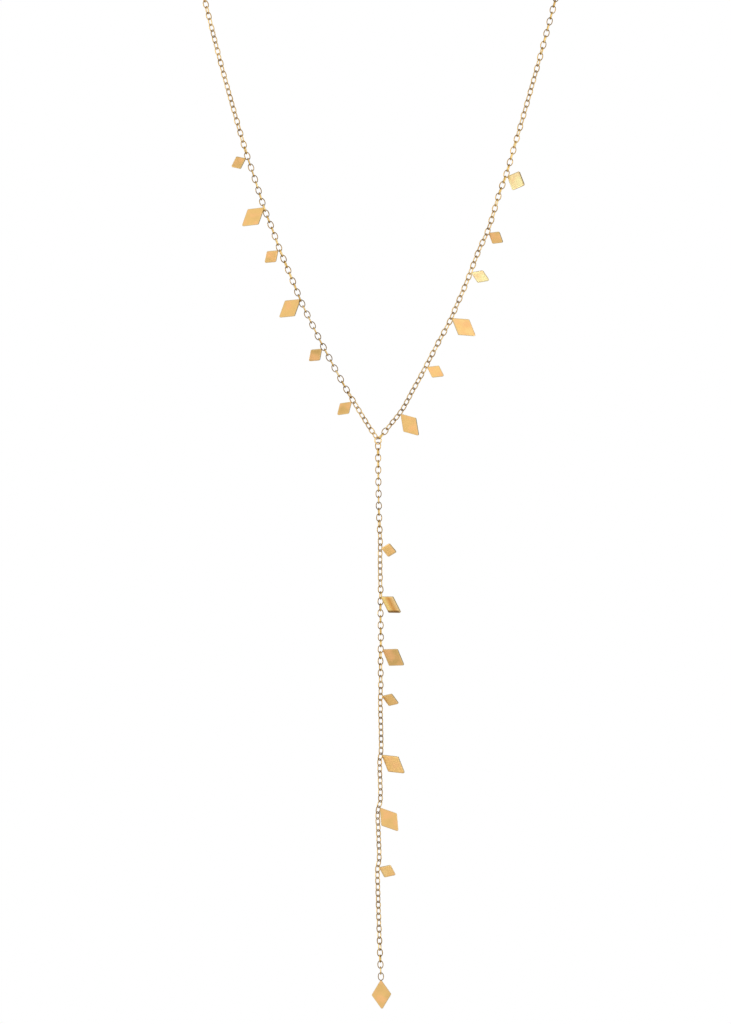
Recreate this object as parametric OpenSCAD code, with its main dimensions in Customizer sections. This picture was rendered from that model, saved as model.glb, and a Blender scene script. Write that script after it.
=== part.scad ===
// Y necklace as it hangs on a neck. Two chain arms run down from the nape and meet at a small ring,
// and a chain stem hangs from the ring. Flat rhombus plates are soldered by a sharp corner to single
// links, and one more plate ends the stem.
// Frame: the origin is at the nape, in the middle of the clasp's neck side. +Z is up, the front of
// the necklace faces -Y, and +X is on the right when it is seen from the front. Millimetres.

/* [Chain] */
// Outer length of a link
link_length = 2.18; // [2.1:0.02:2.3]
// Outer width of a link
link_width = 1.6; // [1.52:0.02:1.8]
// Thickness of a link's wire
link_wire = 0.27; // [0.22:0.01:0.29]
// Clearance between the wires of two links that hang in each other
link_clearance = 0.13; // [0.11:0.01:0.16]
// Share of each arm, from the ring up, that is the front chain
front_share = 0.5; // [0.36:0.01:0.52]

/* [Plates] */
// Length of a large plate between its sharp corners, before they are rounded
large_plate_length = 7.6; // [6.4:0.1:8.2]
// Width of a large plate between its blunt corners, before they are rounded
large_plate_width = 5; // [4.2:0.1:5.6]
// Length of a small plate between its sharp corners, before they are rounded
small_plate_length = 5.1; // [4.4:0.1:5.8]
// Width of a small plate between its blunt corners, before they are rounded
small_plate_width = 3.5; // [3:0.05:4]
// Thickness of the plates
plate_thickness = 0.4; // [0.3:0.05:0.5]
// Radius of the plates' corners
plate_corner = 0.35; // [0.15:0.05:0.4]
// How deep a plate's tip is soldered into the wire of its link
solder_depth = 0.07; // [0.05:0.01:0.15]

/* [Junction ring] */
// Outer diameter of the ring that joins the arms and the stem
ring_diameter = 2.1; // [2:0.02:2.3]
// Thickness of the ring's wire
ring_wire = 0.3; // [0.26:0.01:0.34]
// Turn of the ring about the vertical
ring_turn = 30; // [26:1:36]
// Play of a link in the ring, beside the clearance
ring_play = 0.05; // [0.03:0.01:0.08]

/* [Clasp] */
// Outer diameter of the clasp's ring
clasp_diameter = 6; // [5:0.1:7]
// Thickness of the clasp's ring
clasp_wire = 0.8; // [0.7:0.05:0.95]
// Outer diameter of the clasp's eye
eye_diameter = 2.4; // [2.2:0.1:2.8]
// Thickness of the eye's wire
eye_wire = 0.5; // [0.4:0.05:0.6]
// How deep the eye is soldered into the clasp's ring
eye_overlap = 0.35; // [0.25:0.05:0.45]

/* [Hidden] */
$fn = 32;

// Route of the left arm from the ring to the clasp, chosen points [x, y, z]
left_route = [
    [-2.7, -62, -142.6], [-5.3, -62, -138.4], [-7.9, -62, -134.1], [-10.3, -62, -129.8],
    [-15, -62, -121], [-17.2, -62, -116.5], [-19.4, -62, -112], [-21.3, -62, -107.4],
    [-25.1, -62, -98.2], [-26.8, -62, -93.5], [-28.6, -62, -88.9], [-31.7, -62, -79.4],
    [-33.3, -62, -74.6], [-36.1, -62, -65], [-40.1, -62, -50.6], [-43.8, -62, -36],
    [-46.6, -61, -25.5], [-49.4, -56, -16.5], [-51.5, -47, -9.5], [-51.5, -37, -5],
    [-48.5, -26, -2.5], [-42, -16, -1], [-32.5, -8, -0.3], [-21, -2.5, 0], [-10.5, 0, 0]
];
// Route of the right arm from the ring to the clasp, chosen points [x, y, z]
right_route = [
    [2.4, -62, -142.3], [5.5, -62, -138.4], [7.9, -62, -134], [10.3, -62, -129.7],
    [14.9, -62, -120.9], [17.3, -62, -116.5], [19.3, -62, -111.9], [21.3, -62, -107.3],
    [24.9, -62, -98], [27, -62, -93.5], [29.9, -62, -84], [31.6, -62, -79.4],
    [33, -62, -74.5], [35.8, -62, -65], [39.9, -62, -50.5], [43.8, -62, -36],
    [46.7, -61, -25.5], [49.4, -56, -16.5], [51.5, -47, -9.5], [51.5, -37, -5],
    [48.5, -26, -2.5], [42, -16, -1], [32.5, -8, -0.3], [21, -2.5, 0], [10.5, 0, 0]
];
// Route of the stem from the ring down to its last link, chosen points [x, y, z]
stem_route = [
    [-0.4, -62, -157], [-0.2, -62, -166], [0.1, -62, -172.2], [0, -62, -173.8],
    [0.1, -62, -182.5], [0.2, -62, -184.2], [0.1, -62, -187], [0.2, -62, -197.4],
    [0.1, -62, -199], [0.2, -62, -208.8], [0.05, -62, -210.4], [0.3, -62, -223.8],
    [-0.1, -62, -225.4], [0.1, -62, -236.8], [-0.55, -62, -238.1], [-0.4, -62, -244],
    [-0.2, -62, -251.4], [-0.65, -62, -252.8], [-0.6, -62, -255.7], [-0.3, -62, -266],
    [0.15, -62, -278], [0.25, -62, -280.75]
];
// Middle of the junction ring
ring_centre = [-0.5, -62, -146];

// Turn of the even links about their own length, the odd ones a quarter turn more:
// [share of the chain's links, counted from the ring, degrees]
left_turns = [
    [0, 125], [0.02, 132], [0.04, 130], [0.06, 97], [0.086, 90], [0.113, 94], [0.139, 90],
    [0.166, 92], [0.192, 100], [0.219, 102], [0.245, 96], [0.272, 98], [0.298, 98],
    [0.311, 92], [0.331, 93], [0.344, 105], [0.358, 116], [0.377, 121], [0.397, 134],
    [0.417, 133], [0.437, 122], [0.457, 126], [0.477, 134], [0.497, 120], [0.517, 108],
    [0.596, 135], [0.728, 100], [0.861, 130], [1, 90]
];
right_turns = [
    [0, 102], [0.013, 54], [0.02, 46], [0.053, 44], [0.092, 38], [0.132, 30], [0.171, 33],
    [0.204, 32], [0.25, 29], [0.276, 24], [0.296, 12], [0.316, 15], [0.329, 8], [0.342, 10],
    [0.362, 24], [0.382, 33], [0.401, 35], [0.421, 40], [0.434, 30], [0.447, 20],
    [0.461, 12], [0.487, 6], [0.513, 10], [0.592, 40], [0.724, 10], [0.855, 40], [1, 0]
];
stem_turns = [
    [0, -17], [0.044, -8], [0.089, 0], [0.133, 10], [0.156, 25], [0.178, 38], [0.2, 45],
    [0.244, 40], [0.267, 25], [0.289, 12], [0.322, 8], [0.356, 8], [0.378, 12], [0.4, 24],
    [0.422, 22], [0.444, 32], [0.467, 40], [0.511, 45], [0.644, 45], [0.778, 47],
    [0.844, 48], [0.889, 52], [0.922, 58], [0.944, 72], [0.977, 90], [1, 90]
];

// Plates along a chain, from the top down: [share of the chain's links, counted from the ring,
// size, direction of the long axis from straight down, twist about the vertical, lean,
// seat below the link's middle as a share of the link's length], angles in degrees
left_plates = [
    [0.341, "small", 67, -39, -3, 0.21],
    [0.281, "large", 52, -23, -6, -0.03],
    [0.235, "small", 52, -21, 14, 0.3],
    [0.175, "large", 53, -31, -6, 0.18],
    [0.116, "small", 52, -26, 12, 0.13],
    [0.05, "small", 48, -17, -4, 0.14]
];
right_plates = [
    [0.319, "large", -70, -52, -9, 0.25],
    [0.253, "small", -60, -33, -7, 0.09],
    [0.207, "small", -65, -11, 18, 0.18],
    [0.155, "large", -53, 15, -10, 0.29],
    [0.095, "small", -62, -9, -14, 0.26],
    [0.036, "large", -43, -31, 2, 0.13]
];
stem_plates = [
    [0.194, "small", -79, -42, 7, 0.06],
    [0.283, "large", -57, -49, 15, 0.17],
    [0.383, "large", -59, -35, 2, 0.05],
    [0.472, "small", -68, -32, 16, -0.09],
    [0.583, "large", -52, -25, 11, -0.19],
    [0.68, "large", -37, 9, -8, -0.23],
    [0.794, "small", -66, 20, 12, -0.19]
];
// Direction, twist and lean of the plate at the stem's end
end_plate = [-4, -9, -14];

// How far each chain is drawn out, as a share of the plain pitch
left_draw = 1;
right_draw = 1.008;
stem_draw = 0.986;

// Straight pieces that a route's curve has between two of its points
curve_steps = 8;
// Gap at the ends of the neck chains
end_gap = 0.15;
// Sides of a neck chain's tube, and the distance between its rings in tube widths
tube_sides = 8;
ring_step = 2.6;
// Middle of the neck, seen from above
neck_middle = [0, -31, 0];
// Straight pieces of a plate's rounded corner
corner_steps = 6;

link_pitch = link_length - 2 * link_wire - link_clearance;
bend_radius = (link_width - link_wire) / 2;
half_straight = (link_length - link_width) / 2;
clasp_middle = [0, clasp_wire / 2, 0];
eye_centre = clasp_middle - [(clasp_diameter + eye_diameter) / 2 - eye_overlap, 0, 0];

chain_colour = [0.77, 0.65, 0.45];
plate_colour = [0.91, 0.74, 0.43];

function unit(v) = v / norm(v);

// Where the first link of a chain that leaves towards a point hangs in the junction ring
function ring_contact(point) =
    let (across = [cos(ring_turn), sin(ring_turn), 0],
         u = unit(point - ring_centre),
         reach = ring_diameter / 2 - ring_wire - link_clearance / 2 - ring_play)
    ring_centre + reach * unit((u * across) * across + [0, 0, u.z]);

// A smooth curve through the points of a route
function slope(p, i) =
    i == 0 ? unit(p[1] - p[0])
    : i == len(p) - 1 ? unit(p[i] - p[i - 1])
    : (p[i + 1] - p[i - 1]) / (norm(p[i] - p[i - 1]) + norm(p[i + 1] - p[i]));
function blend(a, b, slope_a, slope_b, u) =
    let (span = norm(b - a))
    (2 * pow(u, 3) - 3 * pow(u, 2) + 1) * a + (pow(u, 3) - 2 * pow(u, 2) + u) * span * slope_a
    + (3 * pow(u, 2) - 2 * pow(u, 3)) * b + (pow(u, 3) - pow(u, 2)) * span * slope_b;
function curve(p) = [
    for (i = [0 : len(p) - 2], j = [0 : curve_steps - 1])
        blend(p[i], p[i + 1], slope(p, i), slope(p, i + 1), j / curve_steps),
    p[len(p) - 1]
];

// The curve as three tables, one an axis, of [length along the curve, place on that axis]
function lengths(c) = [
    for (i = 0, s = 0; i < len(c); i = i + 1, s = i < len(c) ? s + norm(c[i] - c[i - 1]) : s) s
];
function tables(c) =
    let (s = lengths(c))
    [for (axis = [0 : 2]) [for (i = [0 : len(c) - 1]) [s[i], c[i][axis]]]];
function whole(way) = way[0][len(way[0]) - 1][0];
function at(way, s) = [for (axis = way) lookup(s, axis)];

// A chain is [way, number of links, turns of its links, side that its plates are on]
function chain(points, draw, turns, side) =
    let (way = tables(curve(points)))
    [way, round(whole(way) / (link_pitch * draw)), turns, side];
left_chain = chain(
    [ring_contact(left_route[0]), each left_route,
     eye_centre - [eye_diameter / 2 - eye_wire - link_clearance / 2, 0, 0]],
    left_draw, left_turns, -1);
right_chain = chain(
    [ring_contact(right_route[0]), each right_route,
     clasp_middle + [clasp_diameter / 2 - clasp_wire - link_clearance / 2, 0, 0]],
    right_draw, right_turns, 1);
stem_chain_data = chain([ring_contact(stem_route[0]), each stem_route], stem_draw, stem_turns, 1);

function way(chain) = chain[0];
function count(chain) = chain[1];
function pitch(chain) = whole(way(chain)) / count(chain);
function crossing(chain, k) = at(way(chain), k * pitch(chain));
function plate_link(chain, row) = floor(row[0] * count(chain));

// Middle of link k, its direction with the end that points down turned up, its turn and the way
// its width points
function link_middle(chain, k) = (crossing(chain, k) + crossing(chain, k + 1)) / 2;
function link_up(chain, k) =
    let (t = unit(crossing(chain, k + 1) - crossing(chain, k)))
    t.z < -0.5 ? -t : t;
function link_turn(chain, k) = lookup(k / count(chain), chain[2]) + 90 * (k % 2);
function about_z(v, a) = [v.x * cos(a) - v.y * sin(a), v.x * sin(a) + v.y * cos(a), v.z];
function link_across(chain, k) =
    let (u = link_up(chain, k),
         heading = atan2(u.y, u.x),
         q = link_turn(chain, k) - heading)
    about_z([cos(q) * u.z, sin(q), -cos(q) * sqrt(1 - u.z * u.z)], heading);

// Where a plate is seated: the middle of the wire on the outer side of link k
function seat(chain, k, lower) =
    let (across = link_across(chain, k),
         outward = across.x * chain[3] < 0 ? -across : across,
         drop = lower * link_length,
         past = max(0, abs(drop) - half_straight))
    link_middle(chain, k) + outward * sqrt(pow(bend_radius, 2) - pow(past, 2))
    - drop * link_up(chain, k);

// Outline of a rhombus with rounded corners, its long axis along Y
function rhombus(length, width) = [
    for (i = [0 : 3], j = [0 : corner_steps])
        let (sharp = i % 2 == 0,
             outward = 90 - 90 * i,
             half = sharp ? atan(width / length) : atan(length / width),
             reach = (sharp ? length : width) / 2 - plate_corner / sin(half),
             a = outward + (90 - half) * (1 - 2 * j / corner_steps))
        reach * [cos(outward), sin(outward)] + plate_corner * [cos(a), sin(a)]
];

// One closed link, its length along Z and its width along X
module link() {
    for (end = [0, 1]) mirror([0, 0, end]) translate([0, 0, half_straight]) rotate([90, 0, 0])
        rotate_extrude(angle = 180) translate([bend_radius, 0]) circle(d = link_wire);
    for (side = [-1, 1]) translate([side * bend_radius, 0, 0])
        cylinder(h = 2 * half_straight, d = link_wire, center = true);
}

module at_link(chain, k) {
    u = link_up(chain, k);
    heading = atan2(u.y, u.x);
    translate(link_middle(chain, k))
        rotate([0, acos(u.z), heading])
            rotate(link_turn(chain, k) - heading)
                children();
}

// The links from one number to another, without those that carry a plate
module links(chain, first, last, plates) {
    soldered = [for (row = plates) plate_link(chain, row)];
    color(chain_colour)
        for (k = [first : last]) if (len(search(k, soldered)) == 0) at_link(chain, k) link();
}

// A plate soldered by its upper tip to the wire whose middle is at the origin, pointed by its
// three angles
module plate(size, direction, twist, lean) {
    length = size == "large" ? large_plate_length : small_plate_length;
    width = size == "large" ? large_plate_width : small_plate_width;
    rounded_off = plate_corner * (1 / sin(atan(width / length)) - 1);
    color(plate_colour)
        rotate([lean, 0, twist])
            rotate([0, direction, 0])
                translate([0, 0, rounded_off + solder_depth - (link_wire + length) / 2])
                    rotate([90, 0, 0])
                        linear_extrude(plate_thickness, center = true)
                            polygon(rhombus(length, width));
}

// A link with the plate that is soldered to it
module plate_on_link(chain, row) {
    k = plate_link(chain, row);
    color(chain_colour) at_link(chain, k) link();
    translate(seat(chain, k, row[5])) plate(row[1], row[2], row[3], row[4]);
}

module end_drop() {
    k = count(stem_chain_data) - 1;
    lowest = link_middle(stem_chain_data, k)
        - link_up(stem_chain_data, k) * (half_straight + bend_radius);
    color(chain_colour) at_link(stem_chain_data, k) link();
    translate(lowest) plate("large", end_plate[0], end_plate[1], end_plate[2]);
}

module wire_ring(diameter, wire) {
    rotate([90, 0, 0])
        rotate_extrude() translate([(diameter - wire) / 2, 0]) circle(d = wire);
}

module y_ring() {
    color(chain_colour)
        translate(ring_centre) rotate(ring_turn) wire_ring(ring_diameter, ring_wire);
}

module clasp() {
    color(chain_colour) {
        translate(clasp_middle) wire_ring(clasp_diameter, clasp_wire);
        translate(eye_centre) wire_ring(eye_diameter, eye_wire);
    }
}

// A tube along a chain's way from one length to another
module tube(chain, from, to) {
    rings = ceil((to - from) / (ring_step * link_width));
    points = [
        for (i = [0 : rings])
            let (s = from + (to - from) * i / rings,
                 middle = at(way(chain), s),
                 t = unit(at(way(chain), s + end_gap) - at(way(chain), s - end_gap)),
                 away = [middle.x, middle.y, 0] - neck_middle,
                 side = unit(away - (away * t) * t),
                 other = cross(t, side))
            for (j = [0 : tube_sides - 1])
                middle + link_width / 2
                    * (side * cos(360 * j / tube_sides) + other * sin(360 * j / tube_sides))
    ];
    last = rings * tube_sides;
    faces = [
        [for (j = [0 : tube_sides - 1]) j],
        for (i = [0 : rings - 1], j = [0 : tube_sides - 1])
            let (next = (j + 1) % tube_sides, low = i * tube_sides, high = low + tube_sides)
            [low + j, high + j, high + next, low + next],
        [for (j = [0 : tube_sides - 1]) last + tube_sides - 1 - j]
    ];
    color(chain_colour) polyhedron(points, faces);
}

// The number of the topmost link of an arm's front chain, and the length where its tube starts
function top_link(chain) = floor(front_share * count(chain));
function tube_start(chain) =
    (top_link(chain) + 1) * pitch(chain) + (link_length - pitch(chain)) / 2 + end_gap;

module front_chain_left() links(left_chain, 0, top_link(left_chain), left_plates);
module front_chain_right() links(right_chain, 0, top_link(right_chain), right_plates);
module stem_chain() links(stem_chain_data, 0, count(stem_chain_data) - 2, stem_plates);
module neck_chain_left() {
    tube(left_chain, tube_start(left_chain),
        whole(way(left_chain)) - eye_wire - link_clearance / 2 - end_gap);
}
module neck_chain_right() {
    tube(right_chain, tube_start(right_chain),
        whole(way(right_chain)) - clasp_wire - link_clearance / 2 - end_gap);
}

clasp();
neck_chain_left();
neck_chain_right();
front_chain_left();
front_chain_right();
y_ring();
stem_chain();
end_drop();
for (i = [1 : len(left_plates)])
    plate_on_link(left_chain, left_plates[i - 1]);
for (i = [1 : len(right_plates)])
    plate_on_link(right_chain, right_plates[i - 1]);
for (i = [1 : len(stem_plates)])
    plate_on_link(stem_chain_data, stem_plates[i - 1]);
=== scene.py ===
"""Y necklace with rhombus plates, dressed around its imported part."""

import math
from collections import namedtuple

import bpy
from mathutils import Matrix, Vector


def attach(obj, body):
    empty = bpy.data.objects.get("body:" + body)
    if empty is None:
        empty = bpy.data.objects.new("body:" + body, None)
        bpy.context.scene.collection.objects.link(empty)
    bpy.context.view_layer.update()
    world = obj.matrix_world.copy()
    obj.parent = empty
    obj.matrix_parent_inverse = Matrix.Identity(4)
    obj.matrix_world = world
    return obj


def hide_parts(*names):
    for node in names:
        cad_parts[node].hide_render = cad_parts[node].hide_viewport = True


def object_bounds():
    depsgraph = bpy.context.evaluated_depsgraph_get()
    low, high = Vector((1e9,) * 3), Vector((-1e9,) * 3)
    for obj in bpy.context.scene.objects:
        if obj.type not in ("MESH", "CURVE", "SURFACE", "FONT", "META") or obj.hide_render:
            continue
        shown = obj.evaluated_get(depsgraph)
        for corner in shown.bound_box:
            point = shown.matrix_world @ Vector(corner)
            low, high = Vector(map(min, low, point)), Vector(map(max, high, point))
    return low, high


bl_info = {
    "name": "Y necklace",
    "version": (1, 0, 0),
    "blender": (4, 5, 0),
    "location": "3D View > Sidebar > Necklace",
    "description": "Builds a cable-chain y necklace with soldered rhombus plates",
    "category": "Add Mesh",
}

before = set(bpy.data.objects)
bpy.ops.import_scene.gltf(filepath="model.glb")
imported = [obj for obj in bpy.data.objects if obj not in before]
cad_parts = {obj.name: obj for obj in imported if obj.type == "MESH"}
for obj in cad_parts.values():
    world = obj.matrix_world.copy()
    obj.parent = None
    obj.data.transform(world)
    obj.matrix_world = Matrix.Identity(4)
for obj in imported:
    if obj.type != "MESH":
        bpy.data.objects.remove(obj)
CAD_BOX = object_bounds()
MM = 0.001
FRONT = -62  # depth of the front chains, in millimetres
NECKLACE_BODY = "necklace"
DROP_BODY = "end_drop"

# Chosen points of the routes, in millimetres. The front stretches are [x, z] at the front depth.
LEFT_FRONT = (
    (-2.7, -142.6), (-5.3, -138.4), (-7.9, -134.1), (-10.3, -129.8), (-15, -121),
    (-17.2, -116.5), (-19.4, -112), (-21.3, -107.4), (-25.1, -98.2), (-26.8, -93.5),
    (-28.6, -88.9), (-31.7, -79.4), (-33.3, -74.6), (-36.1, -65), (-40.1, -50.6), (-43.8, -36),
)
RIGHT_FRONT = (
    (2.4, -142.3), (5.5, -138.4), (7.9, -134), (10.3, -129.7), (14.9, -120.9),
    (17.3, -116.5), (19.3, -111.9), (21.3, -107.3), (24.9, -98), (27, -93.5),
    (29.9, -84), (31.6, -79.4), (33, -74.5), (35.8, -65), (39.9, -50.5), (43.8, -36),
)
LEFT_NECK = (
    (-46.6, -61, -25.5), (-49.4, -56, -16.5), (-51.5, -47, -9.5), (-51.5, -37, -5),
    (-48.5, -26, -2.5), (-42, -16, -1), (-32.5, -8, -0.3), (-21, -2.5, 0), (-10.5, 0, 0),
)
RIGHT_NECK = (
    (46.7, -61, -25.5), (49.4, -56, -16.5), (51.5, -47, -9.5), (51.5, -37, -5),
    (48.5, -26, -2.5), (42, -16, -1), (32.5, -8, -0.3), (21, -2.5, 0), (10.5, 0, 0),
)
STEM_FRONT = (
    (-0.4, -157), (-0.2, -166), (0.1, -172.2), (0, -173.8), (0.1, -182.5), (0.2, -184.2),
    (0.1, -187), (0.2, -197.4), (0.1, -199), (0.2, -208.8), (0.05, -210.4), (0.3, -223.8),
    (-0.1, -225.4), (0.1, -236.8), (-0.55, -238.1), (-0.4, -244), (-0.2, -251.4),
    (-0.65, -252.8), (-0.6, -255.7), (-0.3, -266), (0.15, -278), (0.25, -280.75),
)
RING_CENTRE = Vector((-0.5, FRONT, -146)) * MM
CURVE_STEPS = 8  # from one chosen point to the next

# Turn of the even links about their own length: (share of the links from the ring, degrees).
LEFT_TURNS = (
    (0, 125), (0.02, 132), (0.04, 130), (0.06, 97), (0.086, 90), (0.113, 94), (0.139, 90),
    (0.166, 92), (0.192, 100), (0.219, 102), (0.245, 96), (0.272, 98), (0.298, 98),
    (0.311, 92), (0.331, 93), (0.344, 105), (0.358, 116), (0.377, 121), (0.397, 134),
    (0.417, 133), (0.437, 122), (0.457, 126), (0.477, 134), (0.497, 120), (0.517, 108),
    (0.596, 135), (0.728, 100), (0.861, 130), (1, 90),
)
RIGHT_TURNS = (
    (0, 102), (0.013, 54), (0.02, 46), (0.053, 44), (0.092, 38), (0.132, 30), (0.171, 33),
    (0.204, 32), (0.25, 29), (0.276, 24), (0.296, 12), (0.316, 15), (0.329, 8), (0.342, 10),
    (0.362, 24), (0.382, 33), (0.401, 35), (0.421, 40), (0.434, 30), (0.447, 20),
    (0.461, 12), (0.487, 6), (0.513, 10), (0.592, 40), (0.724, 10), (0.855, 40), (1, 0),
)
STEM_TURNS = (
    (0, -17), (0.044, -8), (0.089, 0), (0.133, 10), (0.156, 25), (0.178, 38), (0.2, 45),
    (0.244, 40), (0.267, 25), (0.289, 12), (0.322, 8), (0.356, 8), (0.378, 12), (0.4, 24),
    (0.422, 22), (0.444, 32), (0.467, 40), (0.511, 45), (0.644, 45), (0.778, 47),
    (0.844, 48), (0.889, 52), (0.922, 58), (0.944, 72), (0.977, 90), (1, 90),
)
# Painted dimming of the links' reflection, which also makes them a little rougher, from -1 bright
# and
# polished to 1 dim and dull: (share of the links from the ring, dimming and dullness).
LEFT_DIMMING_AND_DULLNESS = (
    (0, -0.2), (0.03, -0.1), (0.06, 0.5), (0.17, 0.5), (0.21, 0), (0.26, -0.05),
    (0.285, 0.6), (0.31, 0.35), (0.34, -0.05), (0.4, -0.2), (1, -0.1),
)
RIGHT_DIMMING_AND_DULLNESS = (
    (0, 0.4), (0.05, 0.25), (0.1, 0.05), (0.14, -0.15), (0.28, -0.2), (0.33, -0.45),
    (0.37, -0.2), (0.45, -0.15), (0.49, 0.1), (1, -0.1),
)
STEM_DIMMING_AND_DULLNESS = (
    (0, -0.35), (0.05, -0.15), (0.09, 0.25), (0.15, 0.05), (0.25, 0.1), (0.35, 0), (0.42, 0.15),
    (0.6, 0.05), (0.68, 0.35), (0.74, -0.05), (0.8, 0.05), (0.92, 0.1), (0.96, 0.3), (1, 0.2),
)
# How far each chain is drawn out, as a share of the plain pitch.
LEFT_DRAW = 1
RIGHT_DRAW = 1.008
STEM_DRAW = 0.986

# A plate: its link as a share of the links from the ring, its size, its direction, twist and lean
# in degrees, how far below the link's middle it sits as a share of the link's length, and its
# painted reflection from deep 0 to bright 1. The plates are listed from the top down.
Plate = namedtuple("Plate", "link size direction twist lean lower tone")
LEFT_PLATES = (
    Plate(0.341, "small", 67, -39, -3, 0.21, 0.17),
    Plate(0.281, "large", 52, -23, -6, -0.03, 0.42),
    Plate(0.235, "small", 52, -21, 14, 0.3, 0.28),
    Plate(0.175, "large", 53, -31, -6, 0.18, 0.49),
    Plate(0.116, "small", 52, -26, 12, 0.13, 0.09),
    Plate(0.05, "small", 48, -17, -4, 0.14, 0.19),
)
RIGHT_PLATES = (
    Plate(0.319, "large", -70, -52, -9, 0.25, 0.94),
    Plate(0.253, "small", -60, -33, -7, 0.09, 0.34),
    Plate(0.207, "small", -65, -11, 18, 0.18, 0.93),
    Plate(0.155, "large", -53, 15, -10, 0.29, 0.81),
    Plate(0.095, "small", -62, -9, -14, 0.26, 0.72),
    Plate(0.036, "large", -43, -31, 2, 0.13, 0.43),
)
STEM_PLATES = (
    Plate(0.194, "small", -79, -42, 7, 0.06, 0.37),
    Plate(0.283, "large", -57, -49, 15, 0.17, 0.78),
    Plate(0.383, "large", -59, -35, 2, 0.05, 0),
    Plate(0.472, "small", -68, -32, 16, -0.09, 0.68),
    Plate(0.583, "large", -52, -25, 11, -0.19, 0.71),
    Plate(0.68, "large", -37, 9, -8, -0.23, 0.5),
    Plate(0.794, "small", -66, 20, 12, -0.19, 0.82),
)
END_PLATE = Plate(None, "large", -4, -9, -14, None, 0.34)  # at the foot of the last link
# This plate gets a painted reflection: streaks along its sides and a dark rim below them.
STREAKED_REFLECTION = "stem_plate_2"

# The stage: (name, offset from the picture's middle, size, power) of each lamp, in metres and
# watts, and (place from before the necklace 0 to behind it 1, brightness) of the room's walls.
LAMPS = (
    ("key", (-1.1, 0.2, 0.05), 0.4, 1.2),
    ("bounce", (-0.4, -0.75, -0.6), 0.5, 2.0),
    ("fill", (0.85, -0.65, 0.0), 0.5, 1.4),
    ("rim", (0.3, 0.8, 0.6), 0.5, 1.5),
)
WALLS = ((0, 1), (0.16, 1), (0.38, 0.55), (0.5, 0.55), (0.68, 0.3), (0.88, 0.3), (1, 0.9))
LEFT_WALL = 0.4  # brightness that is added on the far left


def linear(red, green, blue):
    """A colour as the eye reads it, from 0 to 255, turned into light."""
    return tuple(
        (c / 255 / 12.92 if c < 11 else ((c / 255 + 0.055) / 1.055) ** 2.4)
        for c in (red, green, blue))


class ChainSizes(bpy.types.PropertyGroup):
    """Sizes of the cable chain, the junction ring and the clasp."""

    link_length: bpy.props.FloatProperty(
        name="Link length", description="Outer length of a link", default=2.18 * MM, unit="LENGTH")
    link_width: bpy.props.FloatProperty(
        name="Link width", description="Outer width of a link", default=1.6 * MM, unit="LENGTH")
    link_wire: bpy.props.FloatProperty(
        name="Link wire", description="Thickness of a link's wire", default=0.27 * MM,
        unit="LENGTH")
    link_press: bpy.props.FloatProperty(
        name="Link press", description="Width of a link's pressed wire, in thicknesses",
        default=1.3, min=1, max=1.6)
    clearance: bpy.props.FloatProperty(
        name="Clearance", description="Clearance between two links that hang in each other",
        default=0.13 * MM, unit="LENGTH")
    front_share: bpy.props.FloatProperty(
        name="Front share", description="Share of each arm that is the front chain",
        default=0.5, min=0.3, max=0.6, subtype="FACTOR")
    ring_diameter: bpy.props.FloatProperty(
        name="Ring diameter", description="Outer diameter of the junction ring",
        default=2.1 * MM, unit="LENGTH")
    ring_wire: bpy.props.FloatProperty(
        name="Ring wire", description="Thickness of the junction ring's wire",
        default=0.3 * MM, unit="LENGTH")
    ring_turn: bpy.props.FloatProperty(
        name="Ring turn", description="Turn of the junction ring about the vertical",
        default=math.radians(30), unit="ROTATION")
    ring_play: bpy.props.FloatProperty(
        name="Ring play", description="Play of a link in the ring, beside the clearance",
        default=0.05 * MM, unit="LENGTH")
    clasp_diameter: bpy.props.FloatProperty(
        name="Clasp diameter", description="Outer diameter of the clasp's ring",
        default=6 * MM, unit="LENGTH")
    clasp_wire: bpy.props.FloatProperty(
        name="Clasp wire", description="Thickness of the clasp's ring", default=0.8 * MM,
        unit="LENGTH")
    eye_diameter: bpy.props.FloatProperty(
        name="Eye diameter", description="Outer diameter of the clasp's eye",
        default=2.4 * MM, unit="LENGTH")
    eye_wire: bpy.props.FloatProperty(
        name="Eye wire", description="Thickness of the eye's wire", default=0.5 * MM,
        unit="LENGTH")
    eye_overlap: bpy.props.FloatProperty(
        name="Eye overlap", description="How deep the eye is soldered into the clasp's ring",
        default=0.35 * MM, unit="LENGTH")


class PlateSizes(bpy.types.PropertyGroup):
    """Sizes of the rhombus plates."""

    large_length: bpy.props.FloatProperty(
        name="Large length", description="Length of a large plate before its corners are rounded",
        default=7.6 * MM, unit="LENGTH")
    large_width: bpy.props.FloatProperty(
        name="Large width", description="Width of a large plate before its corners are rounded",
        default=5 * MM, unit="LENGTH")
    small_length: bpy.props.FloatProperty(
        name="Small length", description="Length of a small plate before its corners are rounded",
        default=5.1 * MM, unit="LENGTH")
    small_width: bpy.props.FloatProperty(
        name="Small width", description="Width of a small plate before its corners are rounded",
        default=3.5 * MM, unit="LENGTH")
    thickness: bpy.props.FloatProperty(
        name="Thickness", description="Thickness of the plates", default=0.4 * MM, unit="LENGTH")
    corner: bpy.props.FloatProperty(
        name="Corner radius", description="Radius of the plates' corners", default=0.35 * MM,
        unit="LENGTH")
    rim: bpy.props.FloatProperty(
        name="Rim", description="Width of the tumbled rim round each face", default=0.07 * MM,
        unit="LENGTH")
    # The band along each face's rim is painted with shade.
    shaded_band: bpy.props.FloatProperty(
        name="Worn band", description="Width of the worn band along a face's rim",
        default=0.25 * MM, unit="LENGTH")
    solder_depth: bpy.props.FloatProperty(
        name="Solder depth", description="How deep a plate's tip is soldered into its link's wire",
        default=0.07 * MM, unit="LENGTH")


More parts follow.
